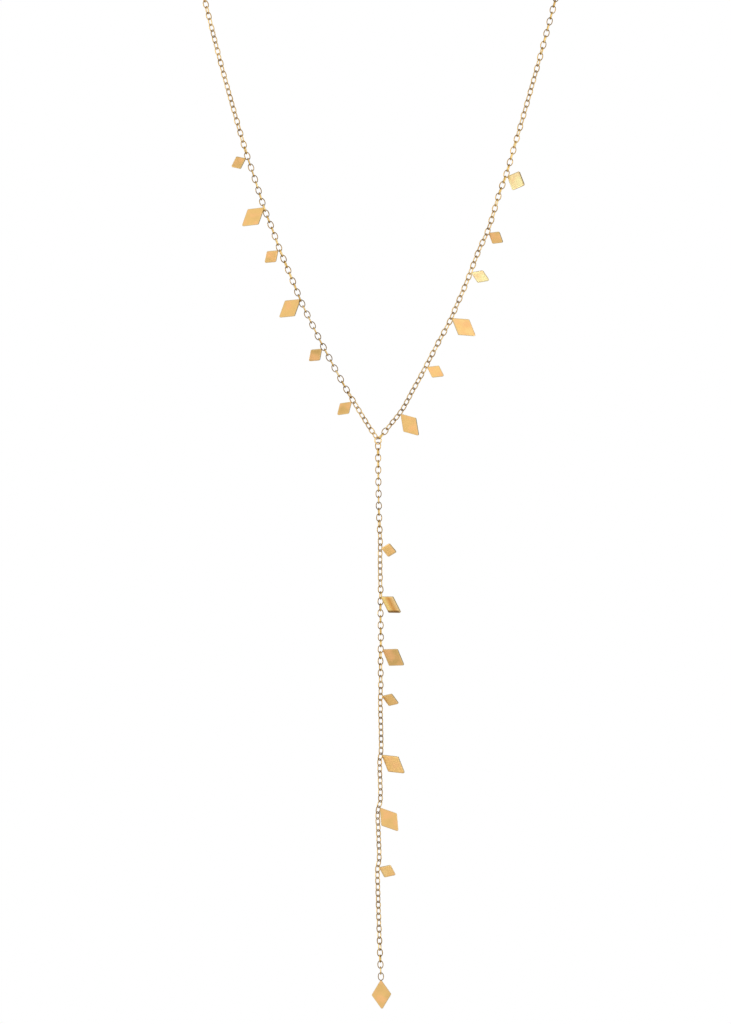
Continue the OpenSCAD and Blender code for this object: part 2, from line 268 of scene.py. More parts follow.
class Finishes(bpy.types.PropertyGroup):
    """Colours and roughness of the gold-toned metal, its painted shade, sheen and reflection among
    them.
    """

    # The dull and pale wire colours are painted light: the dull one is painted shade on the links'
    # edges, where links cross and on dim stretches; the pale one is a painted sheen on their broad
    # sides.
    wire_shade: bpy.props.FloatVectorProperty(
        name="Dull wire", description="Colour of the dullest links", subtype="COLOR",
        default=(0.15, 0.083, 0.014), min=0, max=1)
    wire: bpy.props.FloatVectorProperty(
        name="Wire", description="Colour of the usual link", subtype="COLOR",
        default=(0.75, 0.43, 0.085), min=0, max=1)
    wire_sheen: bpy.props.FloatVectorProperty(
        name="Pale wire", description="Colour of the palest links", subtype="COLOR",
        default=(0.98, 0.72, 0.3), min=0, max=1)
    wire_roughness: bpy.props.FloatProperty(
        name="Wire roughness", description="Roughness of the drawn wire", default=0.24,
        subtype="FACTOR", min=0, max=1)
    # The deep, usual, light and bright plate colours are painted reflection, picked for each plate
    # by its reflection level; the bright one is a painted highlight.
    plate_deep: bpy.props.FloatVectorProperty(
        name="Deep plate", description="Colour of the deepest plates", subtype="COLOR",
        default=(0.54, 0.34, 0.12), min=0, max=1)
    plate: bpy.props.FloatVectorProperty(
        name="Plate", description="Colour of a usual plate", subtype="COLOR",
        default=(0.78, 0.495, 0.18), min=0, max=1)
    plate_light: bpy.props.FloatVectorProperty(
        name="Light plate", description="Colour of the light plates", subtype="COLOR",
        default=(0.95, 0.60, 0.225), min=0, max=1)
    plate_bright: bpy.props.FloatVectorProperty(
        name="Bright plate", description="Colour of the brightest plates", subtype="COLOR",
        default=(1.0, 0.98, 0.54), min=0, max=1)
    # The plates' cut edges and the bands along their faces' rims are painted with shade in this
    # colour.
    plate_edge_shade: bpy.props.FloatVectorProperty(
        name="Plate edge", description="Colour of the plates' cut edges", subtype="COLOR",
        default=(0.66, 0.48, 0.21), min=0, max=1)
    plate_rosy: bpy.props.FloatVectorProperty(
        name="Rosy patches", description="Colour that the plates turn to in patches",
        subtype="COLOR", default=linear(247, 182, 130), min=0, max=1)
    # The dark rim colour of that plate's painted reflection.
    tarnish: bpy.props.FloatVectorProperty(
        name="Tarnish", description="Colour of the dark rim of a tarnished plate",
        subtype="COLOR", default=linear(112, 72, 30), min=0, max=1)
    plate_roughness: bpy.props.FloatProperty(
        name="Plate roughness", description="Roughness of the brushed sheet", default=0.36,
        subtype="FACTOR", min=0, max=1)
    floor: bpy.props.FloatVectorProperty(
        name="Floor", description="Colour of the pale floor", subtype="COLOR",
        default=(0.88, 0.88, 0.87), min=0, max=1)
    floor_roughness: bpy.props.FloatProperty(
        name="Floor roughness", description="Roughness of the floor where it is smoothest",
        default=0.6, subtype="FACTOR", min=0, max=1)


class StageSizes(bpy.types.PropertyGroup):
    """The camera's framing and the floor."""

    picture_height: bpy.props.FloatProperty(
        name="Picture height", description="Height of the picture at the front chains",
        default=256 * MM, unit="LENGTH")
    picture_x: bpy.props.FloatProperty(
        name="Picture middle", description="Middle of the picture, sideways",
        default=-3.625 * MM, unit="LENGTH")
    picture_z: bpy.props.FloatProperty(
        name="Picture level", description="Middle of the picture, upwards",
        default=-163.875 * MM, unit="LENGTH")
    distance: bpy.props.FloatProperty(
        name="Distance", description="From the camera to the front chains", default=1.2,
        unit="LENGTH")
    floor_radius: bpy.props.FloatProperty(
        name="Floor radius", description="Radius of the floor", default=0.7, unit="LENGTH")
    floor_drop: bpy.props.FloatProperty(
        name="Floor drop", description="From the necklace's lowest point down to the floor",
        default=0.2, unit="LENGTH")


def lookup(x, table):
    """The value at x between the rows (place, value) of a table."""
    for (x0, y0), (x1, y1) in zip(table, table[1:]):
        if x <= x1:
            return y0 + (y1 - y0) * max(0, x - x0) / (x1 - x0)
    return table[-1][1]


def curve(points):
    """Points of a smooth curve through the points of a route."""
    last = len(points) - 1
    slopes = []
    for i, p in enumerate(points):
        back, on = points[max(i - 1, 0)], points[min(i + 1, last)]
        slopes.append((on - back) / ((p - back).length + (on - p).length))
    made = []
    for i in range(last):
        a, b = points[i], points[i + 1]
        span = (b - a).length
        for j in range(CURVE_STEPS):
            u = j / CURVE_STEPS
            made.append(
                (2 * u**3 - 3 * u**2 + 1) * a + (u**3 - 2 * u**2 + u) * span * slopes[i]
                + (3 * u**2 - 2 * u**3) * b + (u**3 - u**2) * span * slopes[i + 1])
    return made + [points[last]]


class Chain:
    """A chain's way from the junction ring, its links and its plates' side."""

    def __init__(self, sizes, points, draw, turns, dullness, side):
        line = curve(points)
        lengths = [0]
        for a, b in zip(line, line[1:]):
            lengths.append(lengths[-1] + (b - a).length)
        self.way = [list(zip(lengths, (p[axis] for p in line))) for axis in range(3)]
        self.turns = turns
        self.dullness = dullness
        self.side = side
        self.link_length = sizes.link_length
        self.bend = (sizes.link_width - sizes.link_wire) / 2
        self.straight = (sizes.link_length - sizes.link_width) / 2
        plain_pitch = sizes.link_length - 2 * sizes.link_wire - sizes.clearance
        self.count = math.floor(lengths[-1] / (plain_pitch * draw) + 0.5)
        self.pitch = lengths[-1] / self.count

    def crossing(self, k):
        """Where link k hangs in the one before it."""
        return Vector([lookup(k * self.pitch, axis) for axis in self.way])

    def middle(self, k):
        """Middle of link k."""
        return (self.crossing(k) + self.crossing(k + 1)) / 2

    def up(self, k):
        """Direction of link k, turned up where the chain runs down."""
        t = (self.crossing(k + 1) - self.crossing(k)).normalized()
        return -t if t.z < -0.5 else t

    def link_place(self, k):
        """The matrix that puts the plain link in the place of link k."""
        u = self.up(k)
        heading = math.atan2(u.y, u.x)
        turn = math.radians(lookup(k / self.count, self.turns) + 90 * (k % 2))
        return (Matrix.Translation(self.middle(k))
                @ Matrix.Rotation(heading, 4, "Z")
                @ Matrix.Rotation(math.acos(max(-1, min(1, u.z))), 4, "Y")
                @ Matrix.Rotation(turn - heading, 4, "Z"))

    def hung(self, link, k):
        """A copy of the plain link in the place of link k, marked with its stretch's painted
        dimming and dullness.
        """
        dullness = lookup(k / self.count, self.dullness)
        return marked(copied(link, self.link_place(k)), dullness=lambda v: dullness)

    def seat(self, k, lower):
        """Middle of the wire on link k's outer side, where a plate is soldered."""
        across = self.link_place(k).to_3x3() @ Vector((1, 0, 0))
        outward = -across if across.x * self.side < 0 else across
        drop = lower * self.link_length
        past = max(0, abs(drop) - self.straight)
        return (self.middle(k) + outward * math.sqrt(self.bend**2 - past**2)
                - drop * self.up(k))

    def foot(self, k):
        """Middle of the wire at the lower end of link k."""
        return self.middle(k) - self.up(k) * (self.straight + self.bend)

    def plate_link(self, plate):
        """Number of the link that a plate is soldered to."""
        return math.floor(plate.link * self.count)


def front(points):
    """Points of a front stretch, in metres."""
    return [Vector((x, FRONT, z)) * MM for x, z in points]


def in_metres(points):
    """Points that are listed in millimetres."""
    return [Vector(p) * MM for p in points]


def ring_contact(sizes, point):
    """Where the first link of a chain that leaves towards a point hangs in the ring."""
    across = Vector((math.cos(sizes.ring_turn), math.sin(sizes.ring_turn), 0))
    u = (point - RING_CENTRE).normalized()
    reach = sizes.ring_diameter / 2 - sizes.ring_wire - sizes.clearance / 2 - sizes.ring_play
    return RING_CENTRE + reach * (across * u.dot(across) + Vector((0, 0, u.z))).normalized()


def clasp_middle(sizes):
    """Middle of the clasp's ring."""
    return Vector((0, sizes.clasp_wire / 2, 0))


def eye_centre(sizes):
    """Middle of the eye that is soldered to the clasp's left."""
    reach = (sizes.clasp_diameter + sizes.eye_diameter) / 2 - sizes.eye_overlap
    return clasp_middle(sizes) - Vector((reach, 0, 0))


def chains(sizes):
    """The left arm, the right arm and the stem."""
    left = front(LEFT_FRONT) + in_metres(LEFT_NECK)
    right = front(RIGHT_FRONT) + in_metres(RIGHT_NECK)
    stem = front(STEM_FRONT)
    half_gap = sizes.clearance / 2
    in_eye = eye_centre(sizes) - Vector((sizes.eye_diameter / 2 - sizes.eye_wire - half_gap, 0, 0))
    in_clasp = clasp_middle(sizes) + Vector(
        (sizes.clasp_diameter / 2 - sizes.clasp_wire - half_gap, 0, 0))
    return (
        Chain(sizes, [ring_contact(sizes, left[0]), *left, in_eye], LEFT_DRAW, LEFT_TURNS,
              LEFT_DIMMING_AND_DULLNESS, -1),
        Chain(sizes, [ring_contact(sizes, right[0]), *right, in_clasp], RIGHT_DRAW, RIGHT_TURNS,
              RIGHT_DIMMING_AND_DULLNESS, 1),
        Chain(sizes, [ring_contact(sizes, stem[0]), *stem], STEM_DRAW, STEM_TURNS,
              STEM_DIMMING_AND_DULLNESS, 1),
    )


def deselect():
    """Leaves edit mode and deselects everything, the CAD nodes too."""
    if bpy.context.mode != "OBJECT":
        bpy.ops.object.mode_set(mode="OBJECT")
    bpy.ops.object.select_all(action="DESELECT")


def select_edges(test):
    """Selects the edges of the edited mesh whose two ends pass a test."""
    bpy.ops.mesh.select_all(action="DESELECT")
    bpy.ops.mesh.select_mode(type="EDGE")
    bpy.ops.object.mode_set(mode="OBJECT")
    mesh = bpy.context.object.data
    for edge in mesh.edges:
        a, b = (mesh.vertices[v].co for v in edge.vertices)
        edge.select = test(a, b)
    bpy.ops.object.mode_set(mode="EDIT")


def select_faces(test):
    """Selects the faces of the edited mesh that pass a test."""
    bpy.ops.mesh.select_all(action="DESELECT")
    bpy.ops.mesh.select_mode(type="FACE")
    bpy.ops.object.mode_set(mode="OBJECT")
    for face in bpy.context.object.data.polygons:
        face.select = test(face)
    bpy.ops.object.mode_set(mode="EDIT")


def finished(name, smooth_angle):
    """Closes edit mode, puts the place into the mesh and shades the piece smooth."""
    bpy.ops.object.mode_set(mode="OBJECT")
    piece = bpy.context.object
    bpy.ops.object.transform_apply(location=True, rotation=True, scale=True)
    bpy.ops.object.shade_smooth_by_angle(angle=math.radians(smooth_angle))
    piece.name = name
    piece.data.name = name
    return piece


def copied(master, place):
    """A copy of a modelled piece with a mesh of its own, moved there."""
    copy = master.copy()
    copy.data = master.data.copy()
    copy.data.transform(place)
    bpy.context.collection.objects.link(copy)
    return copy


def marked(piece, **marks):
    """Gives a piece the numbers that its finish is painted with, each by a rule on a vertex."""
    for name, rule in marks.items():
        layer = piece.data.attributes.new(name, "FLOAT", "POINT")
        layer.data.foreach_set("value", [rule(v) for v in piece.data.vertices])
    return piece


def joined(parts, name):
    """The parts as one piece with this name."""
    deselect()
    for part in parts:
        part.select_set(True)
    bpy.context.view_layer.objects.active = parts[0]
    bpy.ops.object.join()
    piece = bpy.context.object
    piece.name = name
    piece.data.name = name
    return piece


def placed(piece, body, slot, *nodes):
    """Ties a piece to its body and hides the CAD nodes that it stands for. The slot is not used.
    """
    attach(piece, body)
    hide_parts(*nodes)


NEARLY_ALL = 0.99  # what reaches this share of a size or a direction counts as on it
NEARLY_NONE = 0.01  # what lies within this share of a wire's thickness counts as one place
# Edges up to these angles, in degrees, are shaded smooth.
SMOOTH_WIRE = 180
SMOOTH_PLATE = 40
# Sides round a wire, and bends round a link or a ring.
LINK_WIRE_SIDES = 6
LINK_BENDS = 16
RING_WIRE_SIDES = 16
RING_BENDS = 40
CROSSING_START = 0.5  # share of the way to a link's end, where the painted shade of the next link's crossing starts
CROSSING_RISE = 3
SEAM_REACH = 0.1  # of a ring's seam along the wire each way, in thicknesses of the wire
SEAM_NECK = 0.9  # thickness of a ring's wire at its seam, as a share
CORNER_STEPS = 6
CORNER_ZONE = 0.4  # a rhombus's corners lie past this share of its length or width
CORNER_MERGE = 0.3  # points of an inner corner merge within this share of the corner radius
RIM_STEPS = 3
RIM_SHADE = 0.4  # how far a face's shaded band takes the painted shade colour of the cut edge


def plain_link(sizes):
    """A closed oval link round the origin, its length along Z and its width along X.

    Its wire is pressed a little flat, and marked for painted shade: on its narrow edges,
    and near its two ends, where other links hang in it.
    """
    side_turn = math.pi / LINK_WIRE_SIDES
    girth = side_turn / math.sin(side_turn)  # the sides together are as long as round wire's
    thin = sizes.link_wire * girth / math.sqrt(sizes.link_press)
    half_length = (sizes.link_length - sizes.link_wire) / 2
    deselect()
    bpy.ops.curve.primitive_bezier_circle_add(radius=1, rotation=(math.pi / 2, 0, 0))
    bpy.ops.object.transform_apply(rotation=True)
    bpy.ops.object.mode_set(mode="EDIT")
    bpy.ops.curve.select_all(action="SELECT")
    bpy.ops.transform.resize(
        value=((sizes.link_width - sizes.link_wire) / 2, 1, half_length))
    bpy.ops.object.mode_set(mode="OBJECT")
    oval = bpy.context.object.data
    oval.resolution_u = LINK_BENDS // 4
    oval.bevel_depth = thin / 2
    oval.bevel_resolution = LINK_WIRE_SIDES // 2 - 2
    bpy.ops.object.convert(target="MESH")
    bpy.ops.object.mode_set(mode="EDIT")
    bpy.ops.mesh.select_all(action="SELECT")
    bpy.ops.mesh.remove_doubles(threshold=thin * NEARLY_NONE)
    bpy.ops.transform.resize(value=(1, sizes.link_press, 1))
    bpy.ops.mesh.normals_make_consistent(inside=False)
    link = finished("plain_link", SMOOTH_WIRE)
    ridge = max(v.co.y for v in link.data.vertices)
    # Both marks paint shade into the wire's colour and roughen it a little: edge on its narrow
    # edges, crossing at its two ends.
    return marked(
        link,
        edge=lambda v: max(0, 2 * abs(v.co.y) / ridge - 1),
        crossing=lambda v: max(
            0, min(1, (abs(v.co.z) / half_length - CROSSING_START) * CROSSING_RISE)))


def plain_ring(name, centre, diameter, wire, turn=0.0):
    """A wire ring that faces the front, turned about the vertical and closed with a seam."""
    def at_seam(a, b):
        # The seam runs round the wire at the ring's lower right.
        return a.x > 0 and max(abs(a.x + a.y), abs(b.x + b.y)) < wire * NEARLY_NONE

    deselect()
    bpy.ops.mesh.primitive_torus_add(
        location=centre, rotation=(math.pi / 2, 0, turn), major_radius=(diameter - wire) / 2,
        minor_radius=wire / 2, major_segments=RING_BENDS, minor_segments=RING_WIRE_SIDES)
    bpy.ops.object.mode_set(mode="EDIT")
    select_edges(at_seam)
    bpy.ops.mesh.bevel(
        offset=wire * SEAM_REACH, offset_type="OFFSET", segments=2, profile=0.5)
    select_edges(at_seam)
    bpy.ops.transform.resize(value=(SEAM_NECK,) * 3)
    return finished(name, SMOOTH_WIRE)


def plate_extent(sizes, size):
    """Length and width of a plate before its corners are rounded."""
    if size == "large":
        return sizes.large_length, sizes.large_width
    return sizes.small_length, sizes.small_width


def plain_plate(sizes, size):
    """A rhombus plate in the XZ plane, its length along Z, with rounded corners and rim."""
    length, width = plate_extent(sizes, size)
    deselect()
    bpy.ops.mesh.primitive_cylinder_add(
        vertices=4, radius=1, depth=sizes.thickness, rotation=(math.pi / 2, 0, 0))
    bpy.ops.object.transform_apply(rotation=True)
    bpy.ops.object.mode_set(mode="EDIT")
    bpy.ops.mesh.select_all(action="SELECT")
    bpy.ops.transform.resize(value=(width / 2, 1, length / 2))
    corners = ((lambda p: abs(p.z), math.atan(width / length), length),
               (lambda p: abs(p.x), math.atan(length / width), width))
    for reach, half, whole in corners:
        select_edges(lambda a, b: min(reach(a), reach(b)) > whole * CORNER_ZONE)
        bpy.ops.mesh.bevel(
            offset=sizes.corner / math.tan(half), offset_type="OFFSET",
            segments=CORNER_STEPS, profile=0.5)
    face = sizes.thickness / 2 * NEARLY_ALL
    select_edges(lambda a, b: min(abs(a.y), abs(b.y)) > face and a.y * b.y > 0)
    bpy.ops.mesh.bevel(offset=sizes.rim, offset_type="OFFSET", segments=RIM_STEPS, profile=0.5)
    select_faces(lambda side: abs(side.normal.y) > NEARLY_ALL)
    bpy.ops.mesh.inset(thickness=sizes.shaded_band)
    # Within the shaded band the corners are nearly sharp, so each one becomes a single point.
    bpy.ops.mesh.remove_doubles(threshold=sizes.corner * CORNER_MERGE)
    plate = finished("plain_plate_" + size, SMOOTH_PLATE)
    sheet = plate.data.uv_layers.new(name="sheet")
    plate.data.uv_layers.active = sheet
    for loop in plate.data.loops:
        p = plate.data.vertices[loop.vertex_index].co
        sheet.data[loop.index].uv = (p.x / MM, p.z / MM)
    # What is still selected is the part of each face inside its shaded band.
    # The edge mark paints shade, and a little smoothness: fully on the rounded rims and cut edges,
    # fading inwards across each face's band.
    return marked(
        plate, edge=lambda v: 0 if v.select else RIM_SHADE if abs(v.co.y) > face else 1)


class Value:
    """A node's socket that takes part in expressions like a number."""

    def __init__(self, nodes, socket):
        self.nodes = nodes
        self.socket = socket

    def _math(self, operation, a, b):
        return self.nodes.node("ShaderNodeMath", {"operation": operation}, {0: a, 1: b})[0]

    def __add__(self, other):
        return self._math("ADD", self, other)

    def __radd__(self, other):
        return self._math("ADD", other, self)

    def __sub__(self, other):
        return self._math("SUBTRACT", self, other)

    def __rsub__(self, other):
        return self._math("SUBTRACT", other, self)

    def __mul__(self, other):
        return self._math("MULTIPLY", self, other)

    def __rmul__(self, other):
        return self._math("MULTIPLY", other, self)

    def at_most(self, other):
        return self._math("MINIMUM", self, other)

    def at_least(self, other):
        return self._math("MAXIMUM", self, other)


class Nodes:
    """A node tree that is built from expressions."""

    def __init__(self, tree):
        self.tree = tree

    def node(self, kind, settings=None, inputs=None):
        """Adds a node, sets it up, fills its sockets and gives its outputs as values."""
        made = self.tree.nodes.new(kind)
        for key, value in (settings or {}).items():
            if key == "stops":
                self._ramp(made.color_ramp, value)
            else:
                setattr(made, key, value)
        for key, value in (inputs or {}).items():
            self.feed(made.inputs[key], value)
        return [Value(self, out) for out in made.outputs]

    @staticmethod
    def _ramp(ramp, stops):
        while len(ramp.elements) < len(stops):
            ramp.elements.new(0.5)
        for element, (place, colour) in zip(ramp.elements, stops):
            element.position = place
            element.color = (*colour, 1)

    def feed(self, socket, value):
        """Links a value to a socket, or sets the socket to a number or colour."""
        if isinstance(value, Value):
            self.tree.links.new(value.socket, socket)
        else:
            socket.default_value = value

    def ramp(self, share, stops):
        """The colour at a share between stops (place, colour)."""
        return self.node("ShaderNodeValToRGB", {"stops": stops}, {0: share})[0]

    def mix(self, share, a, b):
        """Two colours mixed by a share."""
        return self.node("ShaderNodeMix", {"data_type": "RGBA"}, {0: share, 6: a, 7: b})[2]

    def mark(self, name):
        """The numbers of this name that a piece's vertices are marked with."""
        return self.node("ShaderNodeAttribute", {"attribute_name": name})[2]

    def noise(self, vector, scale, detail):
        """A noise from 0 to 1, the finer the larger its scale."""
        return self.node(
            "ShaderNodeTexNoise", {}, {"Vector": vector, "Scale": scale, "Detail": detail})[0]

    def bump(self, height, strength, distance):
        return self.node("ShaderNodeBump", {}, {
            "Strength": strength, "Distance": distance, "Height": height})[0]


class Paint(Nodes):
    """The nodes of a material, round its shader."""

    def __init__(self, name):
        self.material = bpy.data.materials.new(name)
        self.material.use_nodes = True
        super().__init__(self.material.node_tree)
        self.shader = self.tree.nodes["Principled BSDF"]

    def surface(self, **inputs):
        """Feeds the shader's sockets, named with _ for a space."""
        for key, value in inputs.items():
            self.feed(self.shader.inputs[key.replace("_", " ")], value)


# Noise scales per metre, and how the wire's polishing and painted light, from 0 dull in painted
# shade to 1 polished with a painted sheen, is made up.
LINK_DRIFT = 420
WIRE_GRAIN = 14000
SHEEN_AND_POLISH_DRIFT = 1.6
BROAD_SIDE_SHEEN_AND_POLISH = 0.95
# Painted shade on the narrow edges, which also roughens them a little.
EDGE_LOSS = 1.15
# Painted shade where links cross, which also roughens them a little.
CROSSING_LOSS = 0.35
DIM_AND_DULL_SIDE = 0.3  # what a fully dimmed and dulled stretch loses everywhere
DIM_AND_DULL_EDGE = 0.7  # and on its edges beside
POLISH_SMOOTHS = 0.1
GRAIN_ROUGHENS = 0.1
GRAIN_BUMP = (0.12, 0.02 * MM)


def wire_finish_and_shade(finishes):
    """Gold-toned wire: polished, with a painted sheen, on its broad sides; rougher, in painted
    shade, on its edges and where links cross.
    """
    paint = Paint("gold_wire")
    place = paint.node("ShaderNodeTexCoord")[3]
    edge, crossing, dullness = map(paint.mark, ("edge", "crossing", "dullness"))
    drift = paint.noise(place, LINK_DRIFT, 1)
    grain = paint.noise(place, WIRE_GRAIN, 2)
    # This value is painted light as well as polishing: it picks the colour from the painted shade
    # colour up to the painted sheen colour, and lowers the roughness. Its random drift stands in
    # for each link's own reflection; the broad sides get a painted sheen, the edges, crossings and
    # dim stretches painted shade.
    sheen_and_polish = (drift - 0.5) * SHEEN_AND_POLISH_DRIFT + BROAD_SIDE_SHEEN_AND_POLISH - edge * EDGE_LOSS
    sheen_and_polish = sheen_and_polish - crossing * CROSSING_LOSS - (DIM_AND_DULL_SIDE + edge * DIM_AND_DULL_EDGE) * dullness
    roughness = finishes.wire_roughness + POLISH_SMOOTHS / 2
    paint.surface(
        Base_Color=paint.ramp(sheen_and_polish, (
            (0, finishes.wire_shade), (0.5, finishes.wire), (1, finishes.wire_sheen))),
        Roughness=roughness - sheen_and_polish * POLISH_SMOOTHS + grain * GRAIN_ROUGHENS,
        Metallic=1.0,
        Normal=paint.bump(grain, *GRAIN_BUMP))
    return paint.material


# Noise scales: per metre, and of the brushing per millimetre across and along a plate.
CLOUDS = 350
PATCHES = 500
BRUSHING = (7.0, 0.6, 1.0)
CLOUD_TONE = 0.6
BRUSH_TONE = 0.08
ROSY_SHARE = 0.4
ROSY_START = 0.45  # of the patches' noise
ROSY_RISE = 4
BRUSH_ROUGHENS = 0.12
EDGE_SMOOTHS = 0.08
BRUSH_BUMP = (0.05, 0.01 * MM)
# The plate with a painted streaked reflection: (place across its streaks, colour as the eye reads
# it).
STREAKS = (
    (0, (235, 192, 115)), (0.22, (255, 226, 144)), (0.42, (240, 188, 109)),
    (0.6, (223, 160, 83)), (0.8, (237, 190, 118)), (1, (255, 217, 157)),
)
STREAK_SHARE = 0.24  # of all the streaks that one millimetre holds
STREAK_WANDER = 0.15
SIDE_SLOPE = (0.55, 0.835)  # across and along a large plate's side
RIM_REACH = 2.5  # from a large plate's middle to its blunt corner, in millimetres
RIM_WIDTH = 0.8  # of the dark rim, in millimetres
RIM_FADE = 2  # how steeply the dark rim ends, per millimetre


def plate_finish_and_reflection(finishes):
    """Satin-brushed gold-toned sheet: its painted reflection is set for each plate, streaked on
    one, and its rims are in painted shade.
    """
    paint = Paint("gold_sheet")
    place = paint.node("ShaderNodeTexCoord")[3]
    sheet = paint.node("ShaderNodeUVMap", {"uv_map": "sheet"})[0]
    tone, tarnish, edge = map(paint.mark, ("tone", "tarnish", "edge"))
    across, along, _ = paint.node("ShaderNodeSeparateXYZ", {}, {0: sheet})
    brush = paint.node("ShaderNodeMapping", {}, {"Vector": sheet, "Scale": BRUSHING})[0]
    clouds = paint.noise(place, CLOUDS, 1)
    patches = paint.noise(place, PATCHES, 0)
    brushed = paint.noise(brush, 1, 2)
    drift = ((clouds - 0.5) * CLOUD_TONE + (brushed - 0.5) * BRUSH_TONE) * (1 - tone)
    # Each plate's painted reflection level, varied by clouds and brushing, picks its colour.
    reflection_colour = paint.ramp(tone + drift, (
        (0, finishes.plate_deep), (0.5, finishes.plate), (0.8, finishes.plate_light),
        (1, finishes.plate_bright)))
    rosy = paint.mix(ROSY_SHARE, reflection_colour, (*finishes.plate_rosy, 1))
    blush = ((patches - ROSY_START) * ROSY_RISE).at_least(0).at_most(1)
    # One plate gets a painted reflection: streaks along its sides and a dark rim below them.
    width, length = SIDE_SLOPE
    band = (across * length - along * width) * STREAK_SHARE + 0.5
    band = band + (brushed - 0.5) * STREAK_WANDER
    streaks = paint.ramp(band, [(stop, linear(*colour)) for stop, colour in STREAKS])
    inside = (across + RIM_REACH) * length + along * width
    rim = ((RIM_WIDTH - inside) * RIM_FADE).at_least(0).at_most(1)
    streaks_and_rim = paint.mix(rim, streaks, (*finishes.tarnish, 1))
    face = paint.mix(tarnish, paint.mix(blush, reflection_colour, rosy), streaks_and_rim)
    roughness = finishes.plate_roughness - BRUSH_ROUGHENS / 2
    paint.surface(
        # The rims and cut edges take the painted shade colour.
        Base_Color=paint.mix(edge, face, (*finishes.plate_edge_shade, 1)),
        Roughness=roughness + brushed * BRUSH_ROUGHENS - edge * EDGE_SMOOTHS,
        Metallic=1.0,
        Normal=paint.bump(brushed, *BRUSH_BUMP))
    return paint.material


def finish_of(name, make):
    """A finish that several pieces share, made once."""
    return bpy.data.materials.get(name) or make(bpy.context.scene.necklace_finishes)


def dress(piece, material):
    """Gives a piece this material alone."""
    piece.data.materials.clear()
    piece.data.materials.append(material)
    return piece


class NECKLACE_OT_chains(bpy.types.Operator):
    """Model a link and hang it along both arms and the stem"""

    bl_idname = "necklace.chains"
    bl_label = "Chains"

    def execute(self, context):
        sizes = context.scene.necklace_chain
        link = dress(plain_link(sizes), finish_of("gold_wire", wire_finish_and_shade))
        left, right, stem = chains(sizes)
        stretches = []
        for chain, side, plates in ((left, "left", LEFT_PLATES), (right, "right", RIGHT_PLATES)):
            top = math.floor(sizes.front_share * chain.count)
            stretches.append((chain, "front_chain_" + side, range(top + 1), plates))
            stretches.append((chain, "neck_chain_" + side, range(top + 1, chain.count), ()))
        stretches.append((stem, "stem_chain", range(stem.count - 1), STEM_PLATES))
        for chain, node, numbers, plates in stretches:
            soldered = {chain.plate_link(plate) for plate in plates}
            links = [chain.hung(link, k) for k in numbers if k not in soldered]
            placed(joined(links, node + "_links"), NECKLACE_BODY, "chain", node)
        bpy.data.objects.remove(link)
        return {"FINISHED"}


class NECKLACE_OT_plates(bpy.types.Operator):
    """Model both plates and solder them to their links"""

    bl_idname = "necklace.plates"
    bl_label = "Plates"

    def execute(self, context):
        sizes = context.scene.necklace_chain
        sheet = context.scene.necklace_plates
        gold_wire = finish_of("gold_wire", wire_finish_and_shade)
        gold_sheet = finish_of("gold_sheet", plate_finish_and_reflection)
        link = dress(plain_link(sizes), gold_wire)
        masters = {size: dress(plain_plate(sheet, size), gold_sheet)
                   for size in ("large", "small")}
        left, right, stem = chains(sizes)
        for chain, side, plates in (
                (left, "left", LEFT_PLATES), (right, "right", RIGHT_PLATES),
                (stem, "stem", STEM_PLATES)):
            for number, plate in enumerate(plates, 1):
                k = chain.plate_link(plate)
                self.solder(sheet, link, masters, chain, k, chain.seat(k, plate.lower), plate,
                            f"{side}_plate_{number}", NECKLACE_BODY)
        last = stem.count - 1
        self.solder(sheet, link, masters, stem, last, stem.foot(last), END_PLATE, "end_drop",
                    DROP_BODY)
        for master in (link, *masters.values()):
            bpy.data.objects.remove(master)
        return {"FINISHED"}

    @staticmethod
    def solder(sheet, link, masters, chain, k, seat, plate, node, body):
        """Puts a plate on its link as one piece."""
        length, width = plate_extent(sheet, plate.size)
        rounded_off = sheet.corner * (1 / math.sin(math.atan(width / length)) - 1)
        wire = bpy.context.scene.necklace_chain.link_wire
        hang = rounded_off + sheet.solder_depth - (wire + length) / 2
        place = (Matrix.Translation(seat)
                 @ Matrix.Rotation(math.radians(plate.twist), 4, "Z")
                 @ Matrix.Rotation(math.radians(plate.lean), 4, "X")
                 @ Matrix.Rotation(math.radians(plate.direction), 4, "Y")
                 @ Matrix.Translation((0, 0, hang)))
        # Each plate is marked with its painted reflection level, and one plate with its painted
        # streaked reflection.
        rhombus = marked(copied(masters[plate.size], place), tone=lambda v: plate.tone,
                         tarnish=lambda v: node == STREAKED_REFLECTION)
        placed(joined([rhombus, chain.hung(link, k)], node + "_gold"), body, "plates", node)


class NECKLACE_OT_rings(bpy.types.Operator):
    """Bend the junction ring and the clasp with its eye"""

    bl_idname = "necklace.rings"
    bl_label = "Rings"

    def execute(self, context):
        sizes = context.scene.necklace_chain
        gold_wire = finish_of("gold_wire", wire_finish_and_shade)
        ring = plain_ring("y_ring_gold", RING_CENTRE, sizes.ring_diameter, sizes.ring_wire,
                          sizes.ring_turn)
        placed(dress(ring, gold_wire), NECKLACE_BODY, "chain", "y_ring")
        clasp = plain_ring("clasp_ring", clasp_middle(sizes), sizes.clasp_diameter,
                           sizes.clasp_wire)
        eye = plain_ring("clasp_eye", eye_centre(sizes), sizes.eye_diameter, sizes.eye_wire)
        whole = joined([dress(clasp, gold_wire), dress(eye, gold_wire)], "clasp_gold")
        placed(whole, NECKLACE_BODY, "chain", "clasp")
        return {"FINISHED"}


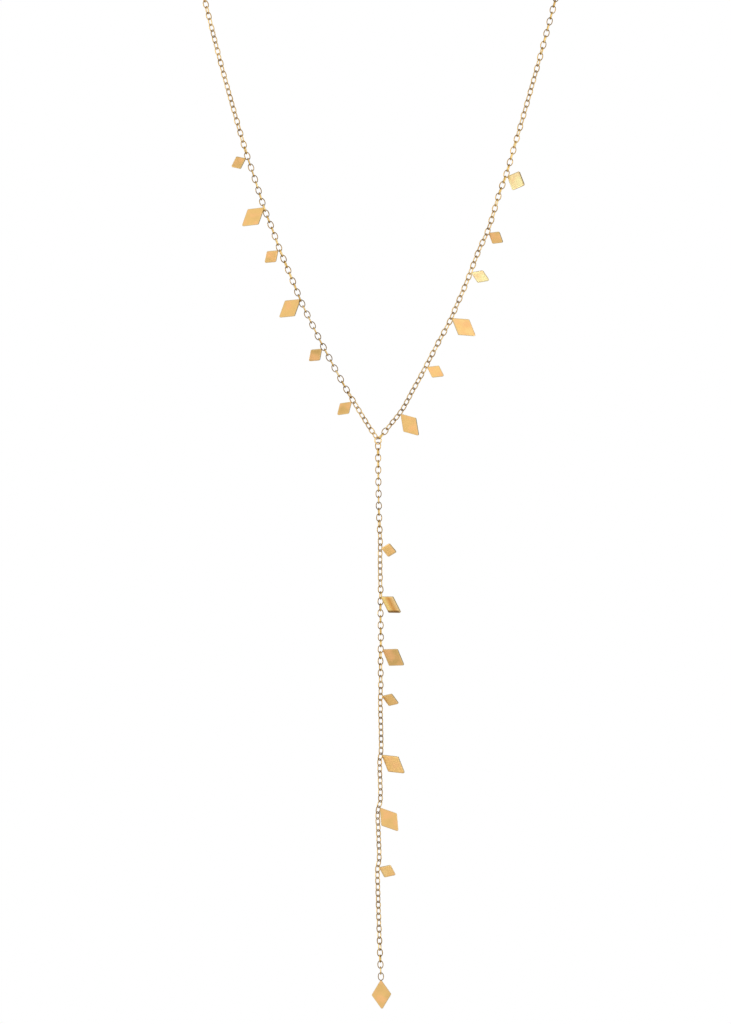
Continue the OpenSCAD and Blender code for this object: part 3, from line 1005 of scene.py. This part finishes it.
class NECKLACE_OT_stage(bpy.types.Operator):
    """Set up the floor, the light and the camera"""

    bl_idname = "necklace.stage"
    bl_label = "Stage"

    def execute(self, context):
        stage = context.scene.necklace_stage
        self.floor(stage, context.scene.necklace_finishes)
        self.light(stage)
        self.camera(context.scene, stage)
        self.sky(context.scene)
        context.scene.view_settings.view_transform = "Standard"
        return {"FINISHED"}

    @staticmethod
    def floor(stage, finishes):
        deselect()
        low = CAD_BOX[0].z - stage.floor_drop
        bpy.ops.mesh.primitive_circle_add(
            vertices=96, radius=stage.floor_radius, fill_type="NGON",
            location=(0, FRONT * MM, low))
        floor = finished("floor", 30)
        paint = Paint("pale_floor")
        place = paint.node("ShaderNodeTexCoord")[3]
        paint.surface(
            Base_Color=(*finishes.floor, 1),
            Roughness=paint.noise(place, 30, 2) * 0.1 + finishes.floor_roughness)
        dress(floor, paint.material)

    @staticmethod
    def light(stage):
        """Four soft lamps: on the left, low in front, on the right and behind."""
        target = Vector((stage.picture_x, FRONT * MM, stage.picture_z))
        for name, offset, size, power in LAMPS:
            lamp = bpy.data.lights.new(name, "AREA")
            lamp.size = size
            lamp.energy = power
            lamp_object = bpy.data.objects.new(name, lamp)
            bpy.context.collection.objects.link(lamp_object)
            lamp_object.location = target + Vector(offset)
            lamp_object.rotation_euler = (-Vector(offset)).to_track_quat("-Z", "Y").to_euler()

    @staticmethod
    def camera(scene, stage):
        data = bpy.data.cameras.new("photo_view")
        # The picture is upright, so the sensor's width lies along its height.
        data.lens = data.sensor_width * stage.distance / stage.picture_height
        camera = bpy.data.objects.new("photo_view", data)
        bpy.context.collection.objects.link(camera)
        camera.location = (stage.picture_x, FRONT * MM - stage.distance, stage.picture_z)
        camera.rotation_euler = (math.pi / 2, 0, 0)
        scene.camera = camera

    @staticmethod
    def sky(scene):
        """A white room: brightest before the necklace and on the left, dimmest beside its back.

        The camera sees it plain white.
        """
        world = bpy.data.worlds.new("white_room")
        world.use_nodes = True
        scene.world = world
        sky = Nodes(world.node_tree)
        sky.tree.nodes.clear()
        direction = sky.node("ShaderNodeTexCoord")[0]
        aside, depth, _ = sky.node("ShaderNodeSeparateXYZ", {}, {0: direction})
        walls = sky.ramp(depth * 0.5 + 0.5, [(place, (level,) * 3) for place, level in WALLS])
        level = sky.node("ShaderNodeRGBToBW", {}, {0: walls})[0] - aside.at_most(0) * LEFT_WALL
        room = sky.node("ShaderNodeBackground", {}, {
            "Color": (1, 1, 1, 1), "Strength": level})[0]
        plain = sky.node("ShaderNodeBackground", {}, {"Color": (1, 1, 1, 1)})[0]
        seen = sky.node("ShaderNodeLightPath")[0]
        mixed = sky.node("ShaderNodeMixShader", {}, {0: seen, 1: room, 2: plain})[0]
        sky.node("ShaderNodeOutputWorld", {}, {0: mixed})


class NECKLACE_PT_panel(bpy.types.Panel):
    """Lists the necklace's steps and sizes"""

    bl_idname = "NECKLACE_PT_panel"
    bl_label = "Y necklace"
    bl_space_type = "VIEW_3D"
    bl_region_type = "UI"
    bl_category = "Necklace"

    def draw(self, context):
        for step in STEPS:
            self.layout.operator(step.bl_idname)
        for name, kind in GROUPS.items():
            box = self.layout.box()
            group = getattr(context.scene, name)
            for prop in kind.__annotations__:
                box.prop(group, prop)


GROUPS = {
    "necklace_chain": ChainSizes,
    "necklace_plates": PlateSizes,
    "necklace_finishes": Finishes,
    "necklace_stage": StageSizes,
}
STEPS = (NECKLACE_OT_chains, NECKLACE_OT_plates, NECKLACE_OT_rings, NECKLACE_OT_stage)
CLASSES = (*GROUPS.values(), *STEPS, NECKLACE_PT_panel)


def register():
    for kind in CLASSES:
        bpy.utils.register_class(kind)
    for name, kind in GROUPS.items():
        setattr(bpy.types.Scene, name, bpy.props.PointerProperty(type=kind))


def unregister():
    for name in GROUPS:
        delattr(bpy.types.Scene, name)
    for kind in reversed(CLASSES):
        bpy.utils.unregister_class(kind)


def main():
    register()
    bpy.ops.necklace.stage()
    bpy.ops.necklace.chains()
    bpy.ops.necklace.plates()
    bpy.ops.necklace.rings()
    bpy.context.view_layer.update()


if __name__ == "__main__":
    main()
